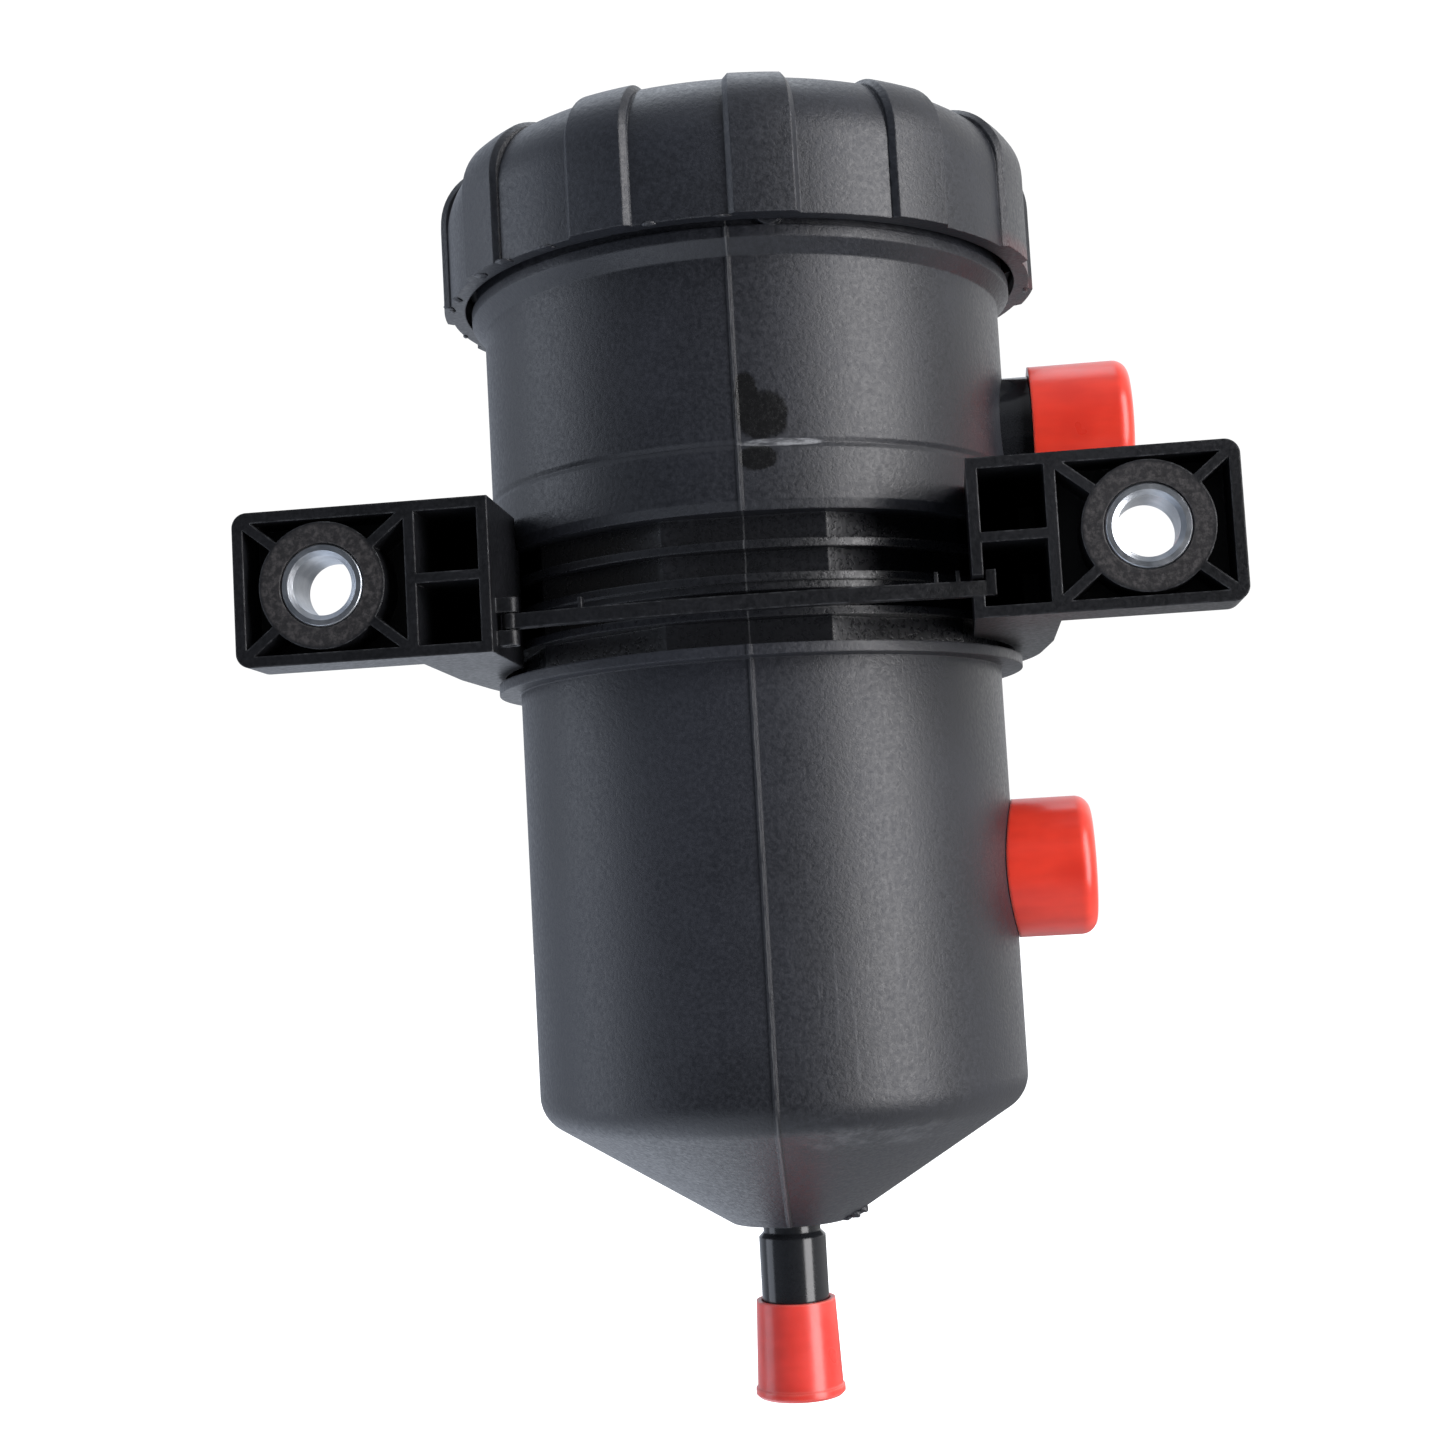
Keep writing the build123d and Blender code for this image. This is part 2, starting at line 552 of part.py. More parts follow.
def web_cells():
    """The two deep cells in one web, open to the mounting side."""
    back_y = AXIS_Y - WEB_SHORT
    plan = Polyline(
        (EAR_IN_X + EAR_WALL, -1), (DIVIDER_X - EAR_WALL, -1),
        (DIVIDER_X - EAR_WALL, back_y), (EAR_IN_X + EAR_WALL, back_y), close=True)
    face = make_face(plan) - Pos(0, AXIS_Y) * Circle(BODY_BORE + EAR_WALL)
    cell_h = EAR_HALF_H - EAR_WALL - RIB_T / 2
    cells = Pos(0, 0, RIB_T / 2) * extrude(face, cell_h)
    return cells + Pos(0, 0, -RIB_T / 2 - cell_h) * extrude(face, cell_h)


def mounting_ear():
    """One ear: a shallow ribbed tray with a boss for its bush."""
    inside_h = EAR_HALF_H - EAR_WALL
    inside_x = EAR_OUT_X - EAR_WALL
    ear = block((DIVIDER_X - EAR_WALL, 0, -EAR_HALF_H), (EAR_OUT_X, EAR_DEPTH, EAR_HALF_H))
    ear = fillet(ear.edges().filter_by(Axis.Y).group_by(Axis.X)[-1], EAR_CORNER)
    ear -= block((DIVIDER_X, -1, -inside_h), (inside_x, EAR_DEPTH - EAR_WALL, inside_h))
    ear += Pos(HOLE_X, 0, 0) * Rot(-90, 0, 0) * disc(BOSS_R, 0, EAR_DEPTH)
    tray = block((DIVIDER_X - 1, 0, -inside_h - 1), (inside_x + 1, EAR_DEPTH - 1, inside_h + 1))
    middle_x = (DIVIDER_X + inside_x) / 2
    rise = math.degrees(math.atan2(2 * inside_h, inside_x - DIVIDER_X))
    for side in (-1, 1):
        rib = Rot(0, side * rise, 0) * Box(2 * EAR_L, EAR_DEPTH, RIB_T)
        ear += Pos(middle_x, EAR_DEPTH / 2, 0) * rib & tray
    bore = Rot(-90, 0, 0) * disc(BUSH_R + BUSH_FIT, -1, EAR_DEPTH + 1)
    return ear - Pos(HOLE_X, 0, 0) * bore


def bracket_half():
    low = -EAR_HALF_H - 1
    high = EAR_HALF_H + 1
    clamp = Pos(0, 0, -EAR_HALF_H) * extrude(clamp_outline(), 2 * EAR_HALF_H)
    clamp -= Pos(0, AXIS_Y, 0) * disc(BODY_BORE, SEAT_HIGH_Z - SEAT_RIB_GAP, high)
    clamp -= Pos(0, AXIS_Y, 0) * disc(RING_BORE, low, SEAT_HIGH_Z)
    clamp -= block((-1, -1, low), (EAR_IN_X, AXIS_Y - math.sqrt(BODY_BORE**2 - EAR_IN_X**2), high))
    return clamp - web_cells() + mounting_ear()


def seat_rib():
    """Ten-sided rib inside the clamp that keys into the canister's waist."""
    low = SEAT_LOW_Z + RING_UPS[-1] + RING_T + SEAT_RIB_GAP
    high = SEAT_HIGH_Z - SEAT_RIB_GAP
    far_half = Pos(0, CLAMP_R) * Rectangle(4 * CLAMP_R, 2 * CLAMP_R)
    face = (Circle(RING_BORE + 1) - seat_outline(SEAT_FLAT_R + SEAT_RIB_GAP)) & far_half
    return Pos(0, AXIS_Y, low) * extrude(face, high - low)


def strap_slot():
    """Slot in the right ear's inner wall, open to the front, that the strap's hook drops into."""
    reach_z = STRAP_H / 2 + STRAP_GAP
    back_y = HINGE_Y + STRAP_T / 2 + STRAP_GAP
    low = (EAR_IN_X - 1, -1, STRAP_Z - reach_z)
    return block(low, (EAR_IN_X + EAR_WALL + 1, back_y, STRAP_Z + reach_z))


def hinge_lug(low):
    """Lug on the left ear's inner wall that holds one end of the strap's pin."""
    lug = block((-EAR_IN_X - 1, HINGE_Y - HINGE_R, low), (HINGE_X, HINGE_Y + HINGE_R, low + HINGE_LUG_T))
    lug += Pos(HINGE_X, HINGE_Y, 0) * disc(HINGE_R, low, low + HINGE_LUG_T)
    hole = disc(HINGE_PIN_R + HINGE_PIN_GAP, low - 1, low + HINGE_LUG_T + 1)
    return lug - Pos(HINGE_X, HINGE_Y, 0) * hole


def bracket():
    half = bracket_half()
    body = half + mirror(half, about=Plane.YZ) + seat_rib() - strap_slot()
    reach_z = STRAP_H / 2 + HINGE_GAP
    return body + hinge_lug(STRAP_Z + reach_z) + hinge_lug(STRAP_Z - reach_z - HINGE_LUG_T)


def bush(side):
    """Steel sleeve that takes the load of a mounting bolt, with a countersunk mouth."""
    half = EAR_DEPTH / 2
    mouth_r = BUSH_BORE_R + BUSH_MOUTH_W
    sleeve = turned([
        (mouth_r, 0), (BUSH_R - BUSH_MOUTH, 0), (BUSH_R, BUSH_MOUTH), (BUSH_R, EAR_DEPTH - BUSH_MOUTH),
        (BUSH_R - BUSH_MOUTH, EAR_DEPTH), (mouth_r, EAR_DEPTH), (BUSH_BORE_R, EAR_DEPTH - BUSH_MOUTH),
        (BUSH_BORE_R, half), (BUSH_BORE_R, BUSH_MOUTH),
    ])
    return Pos(side * HOLE_X, 0, 0) * Rot(-90, 0, 0) * sleeve


def strap_outline():
    """Plan of the bowed strap, from its hinge to the wall that its hook catches."""
    front_y = STRAP_FRONT_Y + STRAP_BOW
    middle_x = (HINGE_X + HOOK_X) / 2
    front = ThreePointArc((HINGE_X, front_y), (middle_x, STRAP_FRONT_Y), (HOOK_X, front_y))
    back = ThreePointArc(
        (HOOK_X, front_y + STRAP_T), (middle_x, STRAP_FRONT_Y + STRAP_T), (HINGE_X, front_y + STRAP_T))
    ends = Line(front @ 1, back @ 0) + Line(back @ 1, front @ 0)
    return make_face(front + back + ends)


def retaining_strap():
    """Bowed strap with a hinge eye and pin at its left end, and teeth and a hook at its right end."""
    low = STRAP_Z - STRAP_H / 2
    high = STRAP_Z + STRAP_H / 2
    outline = strap_outline()
    strap = Pos(0, 0, low) * extrude(outline, STRAP_H)
    raised = Pos(0, 0, low) * extrude(outline, STRAP_H + HOOK_UP)
    for inset in TEETH_IN:
        tooth_x = EAR_IN_X - inset - TOOTH_W / 2
        strap += raised & block((tooth_x, -1, low), (tooth_x + TOOTH_W, AXIS_Y, high + HOOK_UP))
    front_y = STRAP_FRONT_Y + STRAP_BOW
    strap += block((HOOK_X, front_y, low), (HOOK_X + HOOK_L, front_y + STRAP_T, high + HOOK_UP))
    eye = disc(HINGE_R, low, high) + disc(HINGE_PIN_R, low - HINGE_PIN_L, high + HINGE_PIN_L)
    return strap + Pos(HINGE_X, HINGE_Y, 0) * eye


# ---------------------------------------------------------------- the pieces
save_on_axis("housing", housing())
save_on_axis("outlet_stub", hose_stub(UPPER_R, UPPER_STUB_L, UPPER_PORT_Z))
save_on_axis("inlet_stub", hose_stub(LOWER_R, LOWER_STUB_L, LOWER_PORT_Z))
save_on_axis("drain_nipple", drain_nipple())

save_on_axis("filter_core", filter_core())
save_on_axis("filter_media", ring(MEDIA_R, MEDIA_BORE, MEDIA_LOW_Z, FLANGE_Z))
save_on_axis("filter_top_end_cap", filter_top_end_cap())
save_on_axis("filter_bottom_end_cap", filter_bottom_end_cap())
save_on_axis("filter_seal_ring", filter_seal_ring())

save_on_axis("screw_cap", screw_cap())
save_on_axis("cap_o_ring", Pos(0, 0, O_RING_Z) * Torus(O_RING_R, O_RING_D / 2))
save_on_axis("relief_valve_plate", valve_plate())
save_on_axis("relief_valve_seal", disc(VALVE_SEAL_R, VALVE_SEAL_Z, VALVE_PLATE_Z))
save_on_axis("relief_valve_spring", valve_spring())
save_on_axis("vent_cover", vent_cover())

save_on_axis("upper_port_cap", port_cap(UPPER_R, UPPER_NECK_SHOWS, UPPER_STUB_L, UPPER_PORT_Z))
save_on_axis("lower_port_cap", port_cap(LOWER_R, LOWER_NECK_SHOWS, LOWER_STUB_L, LOWER_PORT_Z))
save_on_axis("drain_cap", drain_cap())

save("bracket", bracket())
save("left_bush", bush(-1))
save("right_bush", bush(1))
save("retaining_strap", retaining_strap())
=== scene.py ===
import math
import random

import bmesh
import bpy
from mathutils import Matrix, Vector, noise


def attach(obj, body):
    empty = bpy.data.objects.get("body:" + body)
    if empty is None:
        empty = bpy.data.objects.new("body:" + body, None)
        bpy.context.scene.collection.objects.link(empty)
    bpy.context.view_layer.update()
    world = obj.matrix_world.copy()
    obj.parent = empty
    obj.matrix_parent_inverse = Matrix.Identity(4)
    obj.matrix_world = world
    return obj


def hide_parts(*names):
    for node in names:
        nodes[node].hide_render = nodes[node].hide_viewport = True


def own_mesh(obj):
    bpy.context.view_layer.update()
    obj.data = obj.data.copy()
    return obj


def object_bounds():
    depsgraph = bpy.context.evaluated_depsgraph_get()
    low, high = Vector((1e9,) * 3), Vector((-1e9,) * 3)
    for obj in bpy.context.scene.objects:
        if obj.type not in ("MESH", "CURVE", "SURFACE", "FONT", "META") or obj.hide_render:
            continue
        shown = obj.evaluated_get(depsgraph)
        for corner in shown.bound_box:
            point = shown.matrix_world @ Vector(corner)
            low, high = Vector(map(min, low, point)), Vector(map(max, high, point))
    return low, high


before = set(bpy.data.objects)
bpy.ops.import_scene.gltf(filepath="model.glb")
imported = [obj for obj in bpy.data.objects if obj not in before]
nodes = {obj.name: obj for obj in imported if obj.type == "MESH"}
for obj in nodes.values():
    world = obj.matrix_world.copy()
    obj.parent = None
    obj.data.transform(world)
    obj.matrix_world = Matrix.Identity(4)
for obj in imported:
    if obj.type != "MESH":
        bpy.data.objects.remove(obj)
cad_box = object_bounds()

# ---------------------------------------------------------------- studio
# The canister hangs over a plain pale floor in a white room.  The camera looks at its mounting
# side, a little from below the cap.  One large soft box stands to the right of the camera, a
# weaker, bluer one to the left, and one hangs above and behind.
MM = 0.001
SENSOR_W = 36.0
LENS = 53.116
CAMERA_PLACE = Vector((40.1, -408.2, -67.6)) * MM
LOOK_LEFT = math.radians(5.98)
LOOK_UP = math.radians(4.90)
LEAN = math.radians(-3.165)

camera_data = bpy.data.cameras.new("camera")
camera = bpy.data.objects.new("camera", camera_data)
bpy.context.scene.collection.objects.link(camera)
bpy.context.scene.camera = camera
camera_data.sensor_width = SENSOR_W
camera_data.lens = LENS
camera_data.clip_start = 0.01
camera_data.clip_end = 50.0
turn = Matrix.Rotation(LOOK_LEFT, 4, "Z") @ Matrix.Rotation(math.pi / 2 + LOOK_UP, 4, "X")
camera.matrix_world = Matrix.Translation(CAMERA_PLACE) @ turn @ Matrix.Rotation(LEAN, 4, "Z")


class Wire:
    """One output of a shader node.  Arithmetic on it adds Math nodes to the same tree."""

    def __init__(self, socket):
        self.socket = socket

    def make(self, kind, settings=None, values=None, out=0):
        """Adds a node: its type, its settings, then the values or wires of its inputs."""
        tree = self.socket.id_data
        node = tree.nodes.new(kind)
        for name, value in (settings or {}).items():
            setattr(node, name, value)
        for name, value in (values or {}).items():
            if isinstance(value, Wire):
                tree.links.new(value.socket, node.inputs[name])
            else:
                node.inputs[name].default_value = value
        return Wire(node.outputs[out])

    def math(self, operation, first, second=0.0, clamp=False):
        settings = {"operation": operation, "use_clamp": clamp}
        return self.make("ShaderNodeMath", settings, {0: first, 1: second})

    def __add__(self, other):
        return self.math("ADD", self, other)

    def __sub__(self, other):
        return self.math("SUBTRACT", self, other)

    def __rsub__(self, other):
        return self.math("SUBTRACT", other, self)

    def __mul__(self, other):
        return self.math("MULTIPLY", self, other)

    def __truediv__(self, other):
        return self.math("DIVIDE", self, other)

    __radd__ = __add__
    __rmul__ = __mul__

    def size(self):
        return self.math("ABSOLUTE", self)

    def clamp(self):
        return self.math("ADD", self, 0.0, True)

    def over(self, low, high):
        """0 below low, 1 above high, smooth between."""
        return self.make(
            "ShaderNodeMapRange", {"interpolation_type": "SMOOTHSTEP"},
            {"Value": self, "From Min": low, "From Max": high})

    def mix(self, first, second):
        """Colour that goes from first to second as this wire goes from 0 to 1."""
        return self.make("ShaderNodeMix", {"data_type": "RGBA"}, {"Factor": self, 6: first, 7: second}, 2)

    def vector(self, operation, second, out=0):
        return self.make("ShaderNodeVectorMath", {"operation": operation}, {0: self, 1: second}, out)

    def apart(self):
        """The X, Y and Z of a vector."""
        first = self.make("ShaderNodeSeparateXYZ", {}, {0: self})
        return [Wire(output) for output in first.socket.node.outputs]

    def noise(self, size, detail=2.0, rough=0.5):
        """Noise whose lumps are about size metres across."""
        values = {"Vector": self, "Scale": 0.5 / size, "Detail": detail, "Roughness": rough}
        return self.make("ShaderNodeTexNoise", {}, values)

    def bump(self, strength, distance, under=None):
        values = {"Height": self, "Strength": strength, "Distance": distance}
        if under:
            values["Normal"] = under
        return self.make("ShaderNodeBump", {}, values)


def finish_of(name, **constants):
    """A material with its Principled shader's constants set, and a wire of its place."""
    material = bpy.data.materials.new(name)
    material.use_nodes = True
    shader = material.node_tree.nodes["Principled BSDF"]
    for socket, value in constants.items():
        shader.inputs[socket.replace("_", " ")].default_value = value
    place = Wire(shader.outputs[0]).make("ShaderNodeTexCoord", out="Object")
    return material, shader, place


def feed(shader, **wires):
    for socket, wire in wires.items():
        shader.id_data.links.new(wire.socket, shader.inputs[socket.replace("_", " ")])


def dress(material, *names):
    """Gives a CAD node, or a piece, this material alone."""
    for name in names:
        piece = nodes[name] if isinstance(name, str) else name
        piece.data.materials.clear()
        piece.data.materials.append(material)


FLOOR_DROP = 0.12
FLOOR_HALF = 12.0
floor_paint, floor_shader, floor_place = finish_of(
    "pale_floor", Roughness=0.9, Emission_Color=(1, 1, 1, 1), Emission_Strength=1.0)
feed(floor_shader, Base_Color=floor_place.noise(0.4).over(0.0, 1.0).mix(
    (0.84, 0.84, 0.84, 1), (0.88, 0.88, 0.88, 1)))
floor_z = cad_box[0].z - FLOOR_DROP
corners = [(-1, -1), (1, -1), (1, 1), (-1, 1)]
floor_mesh = bpy.data.meshes.new("floor")
floor_mesh.from_pydata([(x * FLOOR_HALF, y * FLOOR_HALF, floor_z) for x, y in corners], [], [(0, 1, 2, 3)])
floor = bpy.data.objects.new("floor", floor_mesh)
bpy.context.scene.collection.objects.link(floor)
dress(floor_paint, floor)
# The room lights the canister from below too, so the floor casts and blocks no light of its own.
floor.visible_diffuse = False
floor.visible_glossy = False
floor.visible_shadow = False

room = bpy.data.worlds.new("room")
bpy.context.scene.world = room
room.use_nodes = True
backdrop = room.node_tree.nodes["Background"]
way = Wire(backdrop.outputs[0]).make("ShaderNodeTexCoord", out="Generated")
way_x, way_y, way_z = way.apart()
behind = way_y.over(-0.1, 0.9) * (0.65 + 0.35 * way_x.over(-0.8, 0.6))
shaded_corner = (0 - way_z).over(0.06, 0.14) * way_x.over(-0.15, 0.05)
behind = behind * (1 - 0.8 * shaded_corner)
from_floor = (0 - way_z).over(0.2, 0.85) * (1.75 - 1.35 * way_x.over(-0.5, 0.15))
from_above = way_z.over(0.25, 1.0) * (0.6 - 0.25 * way_x.over(-0.6, 0.4))
sides = 0.40 * way_x.over(0.25, 1.0) + 0.22 * (0 - way_x).over(0.3, 1.0)
room_light = 0.085 + 0.95 * behind + sides + from_above + from_floor
seen = way.make("ShaderNodeLightPath", out="Is Camera Ray")
room.node_tree.links.new((seen * 1.05 + (1 - seen) * room_light).socket, backdrop.inputs["Strength"])
blue_side = (way_x.over(-0.5, 0.6) + seen).clamp().mix((0.80, 0.87, 1.0, 1), (1, 1, 1, 1))
room.node_tree.links.new(blue_side.socket, backdrop.inputs["Color"])
bpy.context.scene.view_settings.view_transform = "Standard"

CANISTER_MIDDLE = Vector((0, 0.06, -0.03))


def soft_box(name, place, size, radiance, tint):
    """A rectangular light of size metres, aimed at the middle of the canister."""
    data = bpy.data.lights.new(name, "AREA")
    data.shape = "RECTANGLE"
    data.size, data.size_y = size
    data.energy = radiance * math.pi * size[0] * size[1]
    data.color = tint
    light = bpy.data.objects.new(name, data)
    bpy.context.scene.collection.objects.link(light)
    away = Vector(place) - CANISTER_MIDDLE
    light.matrix_world = Matrix.Translation(place) @ away.to_track_quat("Z", "Y").to_matrix().to_4x4()
    light.visible_camera = False


soft_box("right_box", (0.86, -0.48, 0.10), (0.55, 1.3), 7.4, (1.0, 0.985, 1.0))
soft_box("left_box", (-1.02, -0.03, 0.05), (0.55, 1.1), 2.1, (0.82, 0.88, 1.0))
soft_box("top_box", (-0.15, 0.35, 1.1), (0.8, 0.8), 1.9, (0.86, 0.92, 1.0))

# ---------------------------------------------------------------- canister
# The canister is black glass-filled nylon with the mould's fine grain.  Its two half moulds
# leave a pale parting line.  Use has left an oily smear beside the line, a scuff on the crease
# and a few pale scratches low down.
AXIS = Vector((0.0, 61.0, 0.0)) * MM
SEAM_TURN = math.radians(3.0)
CONE_CORNER_Z = -111.0 * MM
SEAT_LOW_Z = -17.1 * MM
SEAT_HIGH_Z = 9.4 * MM
SEAM_WANDER = 0.35 * MM
CONE_BAND_DROP = 3.5 * MM
# Pale of the edges: partly wear, partly a painted highlight.
WORN_AND_HIGHLIGHT_PALE = (0.15, 0.155, 0.165, 1)
# Dark of the oily smear, also used as painted shade on the stretch that the bracket grips.
OIL_AND_PAINTED_SHADE = (0.005, 0.005, 0.005, 1)
LINE_PALE = (0.088, 0.090, 0.094, 1)
SCRAPED = (0.42, 0.43, 0.45, 1)


def moulded_nylon(name, dark, pale, roughness, grain=0.05, edge_wear_and_highlight=0.0, shine=0.5):
    """Black nylon with mould grain and cloudy dust; its edges can be paler, partly from wear and partly as
    a painted highlight.
    """
    material, shader, place = finish_of(name, Specular_IOR_Level=shine)
    cloud = place.noise(0.022, 3.0, 0.6)
    speck = place.noise(0.00045, 2.0, 0.7)
    shade = (cloud.over(0.3, 0.75) * 0.55 + speck.over(0.3, 0.8) * 0.45).clamp()
    colour = shade.mix(dark, pale)
    rounded = place.make("ShaderNodeBevel", {"samples": 4}, {"Radius": 0.0005})
    # Paler edges: partly wear, partly a painted highlight along them.
    if edge_wear_and_highlight:
        normal = place.make("ShaderNodeNewGeometry", out="Normal")
        edge = rounded.vector("DISTANCE", normal, "Value").over(0.1, 0.45)
        worn_and_highlit_edges = edge * place.noise(0.0012, 2.0, 0.7).over(0.4, 0.68) * edge_wear_and_highlight
        colour = worn_and_highlit_edges.clamp().mix(colour, WORN_AND_HIGHLIGHT_PALE)
    surface = speck.bump(0.9, grain * MM, rounded)
    rough = roughness + (cloud - 0.5) * 0.12 + (speck - 0.5) * 5 * grain
    feed(shader, Base_Color=colour, Roughness=rough, Normal=surface)
    return material, shader, place, colour, rough


canister_nylon, shader, place, colour, rough = moulded_nylon(
    "canister_nylon", (0.008, 0.009, 0.012, 1), (0.023, 0.025, 0.033, 1), 0.44, 0.09)
x, y, z = place.apart()
front = 1 - y.over(AXIS.y - 6 * MM, AXIS.y)
wander = place.noise(0.0016, 2.0, 0.7) - 0.5
across = x * math.cos(SEAM_TURN) + (y - AXIS.y) * math.sin(SEAM_TURN) + wander * SEAM_WANDER
line = 1 - across.size().over(0.00006, 0.00024)
line = line * place.noise(0.0030, 3.0, 0.7).over(0.25, 0.55)


def blot(across_mm, up_mm, wide_mm, high_mm):
    """1 inside a ragged oval on the front of the canister, 0 outside."""
    ragged = (place.noise(0.0022, 3.0, 0.65) - 0.5) * 1.3
    reach_x = (x - across_mm * MM) / (wide_mm * MM)
    reach_z = (z - up_mm * MM) / (high_mm * MM)
    return (1 - (reach_x * reach_x + reach_z * reach_z + ragged).over(0.75, 1.25)) * front


smear = (blot(8.2, 28.0, 5.0, 5.0) + blot(4.9, 32.5, 2.4, 4.4) + blot(6.6, 19.8, 3.8, 2.6)).clamp()
streaky = place.vector("MULTIPLY", (0.35, 1.0, 1.6)).noise(0.0011, 3.0, 0.7)
scuff = blot(11.0, 22.7, 8.0, 0.75) * (streaky.over(0.36, 0.60) * 0.7 + 0.15)
low_scratch = place.vector("MULTIPLY", (1.0, 1.0, 0.06)).noise(0.0007, 2.0, 0.75).over(0.60, 0.70)
scratches = low_scratch * blot(24.0, -86.0, 13.0, 20.0)
# A narrow scraped band lies just under the corner of the cone, right of the middle.
from_band = (z - (CONE_CORNER_Z - CONE_BAND_DROP)).size()
cone_band = (1 - from_band.over(1.2 * MM, 3.4 * MM)) * x.over(4 * MM, 12 * MM)
cone_band = cone_band * (1 - x.over(26 * MM, 40 * MM)) * front
cone_band = cone_band * place.noise(0.0016, 3.0, 0.7).over(0.35, 0.75)
# The stretch that the bracket grips is smoother, and its colour is darkened as painted shade from the
# bracket.
seat_painted_shade = z.over(SEAT_LOW_Z - 0.1 * MM, SEAT_LOW_Z + 0.3 * MM)
seat_painted_shade = seat_painted_shade * (1 - z.over(SEAT_HIGH_Z - 0.4 * MM, SEAT_HIGH_Z + 0.2 * MM))
# The smear darkens as real oil; the gripped stretch darkens as painted shade.
colour = (smear * 0.9 + seat_painted_shade * 0.5).clamp().mix(colour, OIL_AND_PAINTED_SHADE)
colour = (line * 0.8).mix(colour, LINE_PALE)
colour = (scuff * 0.6 + scratches * 0.05 + cone_band * 0.12).clamp().mix(colour, SCRAPED)
feed(shader, Base_Color=colour, Roughness=rough - smear * 0.2 - seat_painted_shade * 0.12)
dress(canister_nylon, "housing")

# Flash from the mould: a few thin torn lumps stand out at the right of the cone's lower end.
flash_random = random.Random(11)


def flash_lump(name, middle, size, body, material):
    """A small torn lump of nylon: a squashed ball with an uneven skin."""
    mesh = bmesh.new()
    bmesh.ops.create_icosphere(mesh, subdivisions=3, radius=1.0)
    offset = Vector((flash_random.uniform(0, 9), flash_random.uniform(0, 9), flash_random.uniform(0, 9)))
    for point in mesh.verts:
        swell = 1 + 0.35 * noise.noise(point.co * 1.4 + offset)
        point.co = Vector(middle) + Vector(a * b * swell for a, b in zip(point.co, size))
    for face in mesh.faces:
        face.smooth = True
    data = bpy.data.meshes.new(name)
    mesh.to_mesh(data)
    mesh.free()
    piece = bpy.data.objects.new(name, data)
    bpy.context.scene.collection.objects.link(piece)
    dress(material, piece)
    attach(piece, body)


# Middle and half size of each lump, in mm.
FLASH_LUMPS = [(15.6, 57.0, -133.9, 1.5, 1.4, 1.1), (14.0, 55.6, -134.7, 1.5, 1.3, 1.0),
               (12.4, 54.6, -135.4, 0.9, 0.8, 0.6)]
for count, (px, py, pz, sx, sy, sz) in enumerate(FLASH_LUMPS):
    flash_lump(f"cone_flash_{count + 1}", Vector((px, py, pz)) * MM, Vector((sx, sy, sz)) * MM,
               "canister", canister_nylon)

# ---------------------------------------------------------------- hose stubs and drain nipple
# Smooth nylon tubes, pushed into the wall and welded.  The mould polished them, so they shine
# more than the grained canister.
stub_nylon = moulded_nylon(
    "stub_nylon", (0.010, 0.011, 0.013, 1), (0.018, 0.019, 0.022, 1), 0.15, 0.006)[0]
dress(stub_nylon, "outlet_stub", "inlet_stub", "drain_nipple")

# ---------------------------------------------------------------- filter element
# A wound fleece between two nylon end caps on a slotted core hangs from the ledge inside the
# canister, on a rubber seal.
element_nylon = moulded_nylon("element_nylon", (0.05, 0.054, 0.06, 1), (0.08, 0.085, 0.09, 1), 0.5)[0]
dress(element_nylon, "filter_core", "filter_top_end_cap", "filter_bottom_end_cap", "relief_valve_plate")

fleece, shader, place = finish_of("filter_fleece", Specular_IOR_Level=0.2)
fibre = place.vector("MULTIPLY", (1.0, 1.0, 6.0)).noise(0.0012, 5.0, 0.7)
feed(
    shader,
    Base_Color=fibre.over(0.3, 0.7).mix((0.62, 0.59, 0.50, 1), (0.90, 0.88, 0.80, 1)),
    Roughness=fibre * 0.1 + 0.85,
    Normal=fibre.bump(0.9, 0.0004))
dress(fleece, "filter_media")

rubber, shader, place = finish_of("seal_rubber", Specular_IOR_Level=0.4)
bloom = place.noise(0.004, 3.0, 0.6)
feed(
    shader,
    Base_Color=bloom.over(0.4, 0.8).mix((0.012, 0.012, 0.012, 1), (0.03, 0.03, 0.03, 1)),
    Roughness=bloom * 0.2 + 0.5)
dress(rubber, "filter_seal_ring", "cap_o_ring", "relief_valve_seal")

# ---------------------------------------------------------------- screw cap and relief valve
# The service cap is moulded in the same nylon, with twelve lugs for the hand and bits of flash
# left on its lower edge.  It screws onto the neck.  A sprung plate in its middle lets excess
# pressure out through the slotted vent cover.
CAP_LOW_Z = 66.5 * MM
SKIRT_R = 65.0 * MM
# Colour of a painted red reflection.
RED_REFLECTION_TINT = (0.060, 0.016, 0.020, 1)
# The cap's edges are paler, partly from wear and partly as a painted highlight.
cap_nylon, shader, place, colour, _ = moulded_nylon(
    "cap_nylon", (0.009, 0.010, 0.013, 1), (0.025, 0.028, 0.037, 1), 0.43, 0.09, 0.35)
x, _, z = place.apart()
# The reddish tint on the right of the skirt's lower edge is a painted reflection of red.
painted_red_reflection = x.over(SKIRT_R - 11 * MM, SKIRT_R - 3 * MM) * (1 - z.over(CAP_LOW_Z + MM, CAP_LOW_Z + 4 * MM))
painted_red_reflection = painted_red_reflection * place.noise(0.003, 2.0, 0.6).over(0.2, 0.6)
colour = (painted_red_reflection * 0.8).mix(colour, RED_REFLECTION_TINT)
feed(shader, Base_Color=colour)
dress(cap_nylon, "screw_cap", "vent_cover")

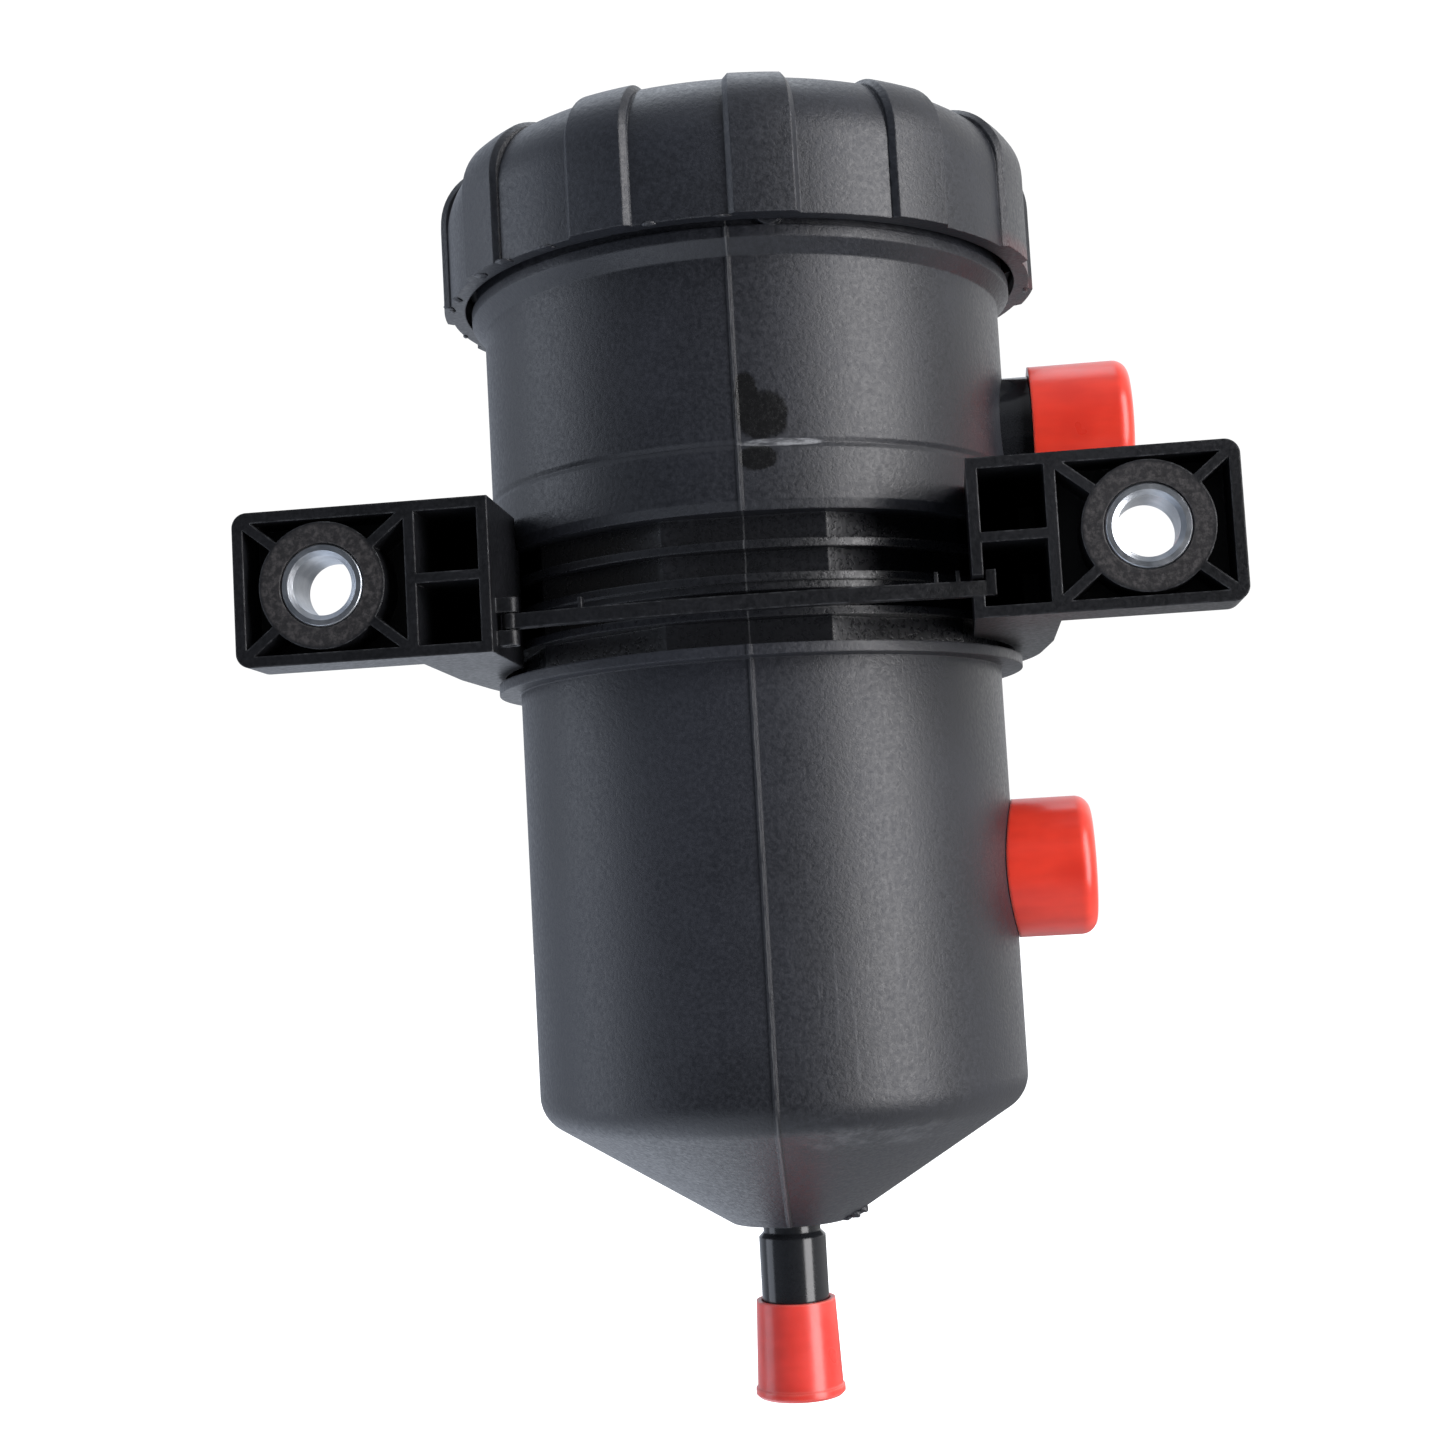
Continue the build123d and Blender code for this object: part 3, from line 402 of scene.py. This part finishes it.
rim_random = random.Random(4)
RIM_BITS = 26
BIT_THICK = 0.45 * MM
for count in range(RIM_BITS):
    bit_turn = math.radians(rim_random.uniform(-180, 180))
    long = rim_random.uniform(0.6, 2.0) * MM
    low = rim_random.uniform(0.15, 0.5) * MM
    bit_r = SKIRT_R - rim_random.uniform(0.3, 1.4) * MM
    bit_place = AXIS + Vector((bit_r * math.sin(bit_turn), -bit_r * math.cos(bit_turn), CAP_LOW_Z))
    bit_w = abs(math.cos(bit_turn)) * long + BIT_THICK
    bit_d = abs(math.sin(bit_turn)) * long + BIT_THICK
    sized = Vector((bit_w, bit_d, low))
    flash_lump(f"rim_flash_{count + 1}", bit_place, sized, "cap", cap_nylon)

# A round nub stands out low on the left of the skirt.
NUB_TURN = math.radians(-78)
NUB_OUT = SKIRT_R + 0.2 * MM
NUB_Z = CAP_LOW_Z + 1.8 * MM
nub_place = AXIS + Vector((math.sin(NUB_TURN) * NUB_OUT, -math.cos(NUB_TURN) * NUB_OUT, NUB_Z))
flash_lump("rim_nub", nub_place, Vector((1.0, 1.0, 1.0)) * MM, "cap", cap_nylon)

wire_steel, shader, place = finish_of("spring_steel", Metallic=1.0)
drawn = place.noise(0.0006, 2.0, 0.6)
feed(
    shader,
    Base_Color=drawn.over(0.3, 0.7).mix((0.42, 0.42, 0.42, 1), (0.6, 0.6, 0.6, 1)),
    Roughness=drawn * 0.15 + 0.2)

# The spring shortens as the valve's plate lifts.  Here it is a piece of its own, with its own mesh, on the
# cap.
spring = bpy.data.objects.new("valve_spring_wire", nodes["relief_valve_spring"].data.copy())
bpy.context.scene.collection.objects.link(spring)
dress(wire_steel, spring)
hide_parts("relief_valve_spring")
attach(spring, "cap")
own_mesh(spring)

# ---------------------------------------------------------------- transport caps
# Soft red vinyl, dipped on a pin and stripped off, so the wall is even and the end is rounded.
# The two on the hose stubs are dense; the one on the drain is thinner, so light comes through.
# Pale red of a painted highlight on the caps' rounded edges.
PAINTED_HIGHLIGHT_RED = (0.93, 0.32, 0.27, 1)


def red_vinyl(name, deep, light, glow):
    """Red vinyl with faint dip runs.  Its rounded edges are painted pale, a painted highlight."""
    material, shader, place = finish_of(
        name, Specular_IOR_Level=0.5, Subsurface_Weight=glow, Subsurface_Scale=0.002,
        Subsurface_Radius=(1.0, 0.25, 0.15), Coat_Weight=0.15, Coat_Roughness=0.2)
    dip = place.noise(0.005, 2.0, 0.5)
    runs = place.vector("MULTIPLY", (0.25, 1.0, 1.0)).noise(0.0016, 2.0, 0.5)
    rounded = place.make("ShaderNodeBevel", {"samples": 4}, {"Radius": 0.0008})
    normal = place.make("ShaderNodeNewGeometry", out="Normal")
    edge = rounded.vector("DISTANCE", normal, "Value").over(0.15, 0.7)
    wall_colour = (dip * 0.6 + runs * 0.4).over(0.3, 0.7).mix(deep, light)
    # The rounded edges get a painted highlight.
    colour = (edge * 0.5).mix(wall_colour, PAINTED_HIGHLIGHT_RED)
    surface = (runs * 0.6 + dip * 0.4).bump(0.35, 0.00012, rounded)
    feed(shader, Base_Color=colour, Roughness=dip * 0.12 + 0.24, Normal=surface)
    return material


port_vinyl = red_vinyl("red_vinyl", (0.68, 0.034, 0.018, 1), (0.84, 0.052, 0.026, 1), 0.25)
dress(port_vinyl, "upper_port_cap")

# The lower cap was pushed on until its soft mouth spread a little and bent round the canister.
LOWER_R = 53.0 * MM
LOWER_PORT_Z = -63.0 * MM
MOUTH_END = 53.6 * MM
MOUTH_GAP = 0.15 * MM
SPREAD = 1.035
pushed = bmesh.new()
pushed.from_mesh(nodes["lower_port_cap"].data)
for point in pushed.verts:
    aside = (point.co.y - AXIS.y) * SPREAD
    point.co.y = AXIS.y + aside
    point.co.z = LOWER_PORT_Z + (point.co.z - LOWER_PORT_Z) * SPREAD
    if point.co.x < MOUTH_END:
        point.co.x = math.sqrt((LOWER_R + MOUTH_GAP) ** 2 - aside ** 2)
pushed_mesh = bpy.data.meshes.new("lower_cap_pushed_on")
pushed.to_mesh(pushed_mesh)
pushed.free()
pushed_cap = bpy.data.objects.new("lower_cap_pushed_on", pushed_mesh)
bpy.context.scene.collection.objects.link(pushed_cap)
dress(port_vinyl, pushed_cap)
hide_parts("lower_port_cap")
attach(pushed_cap, "lower_cap")
dress(red_vinyl("thin_red_vinyl", (0.66, 0.042, 0.030, 1), (0.80, 0.065, 0.050, 1), 0.35), "drain_cap")

# ---------------------------------------------------------------- bracket, strap and bushes
# The clamp bracket and its hooked strap are moulded in black nylon.  Their thin front edges are
# paler, partly from wear and partly as a painted highlight, and the bosses are dusty.  The bushes
# are turned steel, zinc plated, and pressed into the bosses so that a bolt doesn't crush them.
HOLE_X = 81.0 * MM
BOSS_R = 12.8 * MM
DUST = (0.062, 0.058, 0.058, 1)
bracket_nylon, shader, place, colour, _ = moulded_nylon(
    "bracket_nylon", (0.003, 0.0033, 0.004, 1), (0.011, 0.0115, 0.014, 1), 0.40, 0.08, 0.45, 0.35)
x, y, z = place.apart()
from_hole = x.size() - HOLE_X
hole_reach_squared = from_hole * from_hole + z * z
hole_reach = place.math("SQRT", hole_reach_squared)
boss = (1 - hole_reach.over(BOSS_R - MM, BOSS_R)) * (1 - y.over(0.5 * MM, 3 * MM))
lint = place.noise(0.0007, 4.0, 0.75).over(0.42, 0.66)
colour = (boss * (lint * 0.7 + 0.25)).mix(colour, DUST)
feed(shader, Base_Color=colour)
dress(bracket_nylon, "bracket", "retaining_strap")

zinc, shader, place = finish_of("plated_steel", Metallic=1.0)
cut = place.vector("MULTIPLY", (1.0, 8.0, 1.0)).noise(0.0008, 3.0, 0.6)
stain = place.noise(0.003, 3.0, 0.6)
feed(
    shader,
    Base_Color=stain.over(0.35, 0.75).mix((0.40, 0.43, 0.47, 1), (0.58, 0.60, 0.63, 1)),
    Roughness=cut * 0.25 + 0.22,
    Normal=cut.bump(0.6, 0.00006))
dress(zinc, "left_bush", "right_bush")
